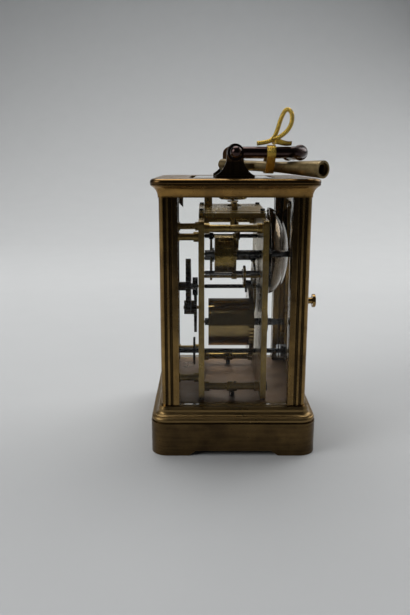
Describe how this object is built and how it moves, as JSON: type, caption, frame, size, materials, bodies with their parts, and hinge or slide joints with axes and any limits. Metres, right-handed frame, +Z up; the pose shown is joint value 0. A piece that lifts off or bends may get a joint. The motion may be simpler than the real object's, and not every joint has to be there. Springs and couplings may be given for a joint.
{
  "type": "carriage clock",
  "caption": "Brass carriage clock in a glazed case: reeded corner pillars, moulded base and cornice, hinged rear door, folding handle with a tied key, balance movement and alarm bell.",
  "frame": {"origin": "centre of the base, on the plane the feet rest on", "axes": "+Z up, -Y towards the dial (front), +Y towards the rear door, +X towards the right side as seen from the front"},
  "size_m": [0.0872, 0.0692, 0.1406],
  "materials": {
    "case_brass": "aged, satin with dark patina",
    "glass": "clear, bevelled edges",
    "movement_brass": "satin lacquered",
    "bell_metal": "turned, semi-bright",
    "steel": "polished and lightly aged",
    "blued_steel": "blued",
    "enamel": "vitreous enamel, glossy",
    "ribbon": "gold woven ribbon"
  },
  "bodies": {
    "case": {"base": "case_brass", "front_left_pillar": "case_brass", "front_right_pillar": "case_brass", "rear_left_pillar": "case_brass", "rear_right_pillar": "case_brass", "cornice": "case_brass", "case_screws": "steel", "front_glass": "glass", "left_glass": "glass", "right_glass": "glass", "top_glass": "glass", "handle_brackets": "case_brass", "handle_pivots": "case_brass", "front_plate": "movement_brass", "back_plate": "movement_brass", "plate_pillars": "movement_brass", "movement_screws": "steel", "dial": "enamel", "dial_feet": "movement_brass", "platform": "movement_brass", "escape_bridge": "movement_brass", "balance_cock": "movement_brass", "bell": "bell_metal", "bell_stand": "steel", "click_springs": "steel", "hairspring": "steel"},
    "door": {"door_frame": "case_brass", "door_glass": "glass", "door_knob": "case_brass"},
    "handle": {"handle": "case_brass", "key": "case_brass", "ribbon_turn": "ribbon", "ribbon_loop": "ribbon"},
    "centre": {"centre_arbor": "steel", "centre_wheel": "movement_brass", "cannon_pinion": "steel", "minute_hand": "blued_steel"},
    "going_barrel": {"going_barrel": "movement_brass", "barrel_cap": "movement_brass", "mainspring": "steel"},
    "winding_arbor": {"winding_arbor": "steel"},
    "winding_click": {"winding_click": "steel"},
    "third": {"third_arbor": "steel", "third_wheel": "movement_brass"},
    "contrate": {"contrate_arbor": "steel", "contrate_wheel": "movement_brass"},
    "escape": {"escape_arbor": "steel", "escape_wheel": "movement_brass"},
    "lever": {"lever": "steel"},
    "balance": {"balance_wheel": "movement_brass"},
    "minute_wheel": {"minute_wheel": "movement_brass"},
    "hour": {"hour_wheel": "movement_brass", "hour_hand": "blued_steel"},
    "alarm_barrel": {"alarm_barrel": "movement_brass"},
    "alarm_winding_arbor": {"alarm_winding_arbor": "steel"},
    "alarm_click": {"alarm_click": "steel"},
    "alarm_escape": {"alarm_escape_wheel": "movement_brass"},
    "alarm_hammer": {"alarm_hammer": "steel"},
    "alarm_set": {"alarm_set_arbor": "steel", "alarm_hand": "blued_steel"}
  },
  "joints": [
    {"name": "handle_fold", "type": "hinge", "parent": "case", "child": "handle", "pos_m": [0, 0, 0.124], "axis": [1, 0, 0], "range_deg": [0, 180], "deforming": ["ribbon_loop"]},
    {"name": "door_swing", "type": "hinge", "parent": "case", "child": "door", "pos_m": [-0.0258, 0.0282, 0.06], "axis": [0, 0, 1], "range_deg": [0, 95]},
    {"name": "centre_turn", "type": "hinge", "parent": "case", "child": "centre", "pos_m": [0, 0, 0.0648], "axis": [0, 1, 0], "continuous": true},
    {"name": "barrel_turn", "type": "hinge", "parent": "case", "child": "going_barrel", "pos_m": [0.0115, 0, 0.051], "axis": [0, 1, 0], "continuous": true},
    {"name": "third_turn", "type": "hinge", "parent": "case", "child": "third", "pos_m": [-0.0036, 0, 0.07725], "axis": [0, 1, 0], "continuous": true},
    {"name": "contrate_turn", "type": "hinge", "parent": "case", "child": "contrate", "pos_m": [0, 0, 0.08788], "axis": [0, 1, 0], "continuous": true},
    {"name": "escape_turn", "type": "hinge", "parent": "case", "child": "escape", "pos_m": [0, 0.00104, 0.095], "axis": [0, 0, 1], "continuous": true},
    {"name": "minute_wheel_turn", "type": "hinge", "parent": "case", "child": "minute_wheel", "pos_m": [-0.009, 0, 0.0528], "axis": [0, 1, 0], "continuous": true},
    {"name": "hour_turn", "type": "hinge", "parent": "case", "child": "hour", "pos_m": [0, 0, 0.0648], "axis": [0, 1, 0], "continuous": true},
    {"name": "winding_turn", "type": "hinge", "parent": "case", "child": "winding_arbor", "pos_m": [0.0115, 0, 0.051], "axis": [0, 1, 0], "continuous": true},
    {"name": "winding_click_lift", "type": "hinge", "parent": "case", "child": "winding_click", "pos_m": [0.0038, 0, 0.04736], "axis": [0, -1, 0], "range_deg": [0, 10], "stiffness_Nm_per_rad": 0.001},
    {"name": "alarm_run", "type": "hinge", "parent": "case", "child": "alarm_barrel", "pos_m": [0.0195, 0, 0.0825], "axis": [0, 1, 0], "continuous": true},
    {"name": "alarm_escape_turn", "type": "hinge", "parent": "case", "child": "alarm_escape", "pos_m": [0.0209, 0, 0.07315], "axis": [0, 1, 0], "continuous": true},
    {"name": "alarm_winding_turn", "type": "hinge", "parent": "case", "child": "alarm_winding_arbor", "pos_m": [0.0195, 0, 0.0825], "axis": [0, 1, 0], "continuous": true},
    {"name": "alarm_click_lift", "type": "hinge", "parent": "case", "child": "alarm_click", "pos_m": [0.02219, 0, 0.07482], "axis": [0, -1, 0], "range_deg": [0, 10], "stiffness_Nm_per_rad": 0.001},
    {"name": "hammer_swing", "type": "hinge", "parent": "case", "child": "alarm_hammer", "pos_m": [0.011, 0, 0.073], "axis": [0, 1, 0], "range_deg": [-8, 12]},
    {"name": "alarm_set_turn", "type": "hinge", "parent": "case", "child": "alarm_set", "pos_m": [0, 0, 0.034], "axis": [0, 1, 0], "continuous": true},
    {"name": "lever_rock", "type": "hinge", "parent": "case", "child": "lever", "pos_m": [-0.0056, 0.00104, 0.1], "axis": [0, 0, 1], "range_deg": [-4, 4]},
    {"name": "balance_swing", "type": "hinge", "parent": "case", "child": "balance", "pos_m": [-0.0124, 0.00104, 0.102], "axis": [0, 0, 1], "range_deg": [-220, 220], "stiffness_Nm_per_rad": 0.0000033}
  ],
  "couplings": [
    {"joint": "barrel_turn", "follows": "centre_turn", "ratio": -0.16667},
    {"joint": "third_turn", "follows": "centre_turn", "ratio": -8},
    {"joint": "contrate_turn", "follows": "centre_turn", "ratio": 60},
    {"joint": "escape_turn", "follows": "centre_turn", "ratio": -480},
    {"joint": "minute_wheel_turn", "follows": "centre_turn", "ratio": -0.33333},
    {"joint": "hour_turn", "follows": "centre_turn", "ratio": 0.083333},
    {"joint": "alarm_escape_turn", "follows": "alarm_run", "ratio": -8}
  ]
}
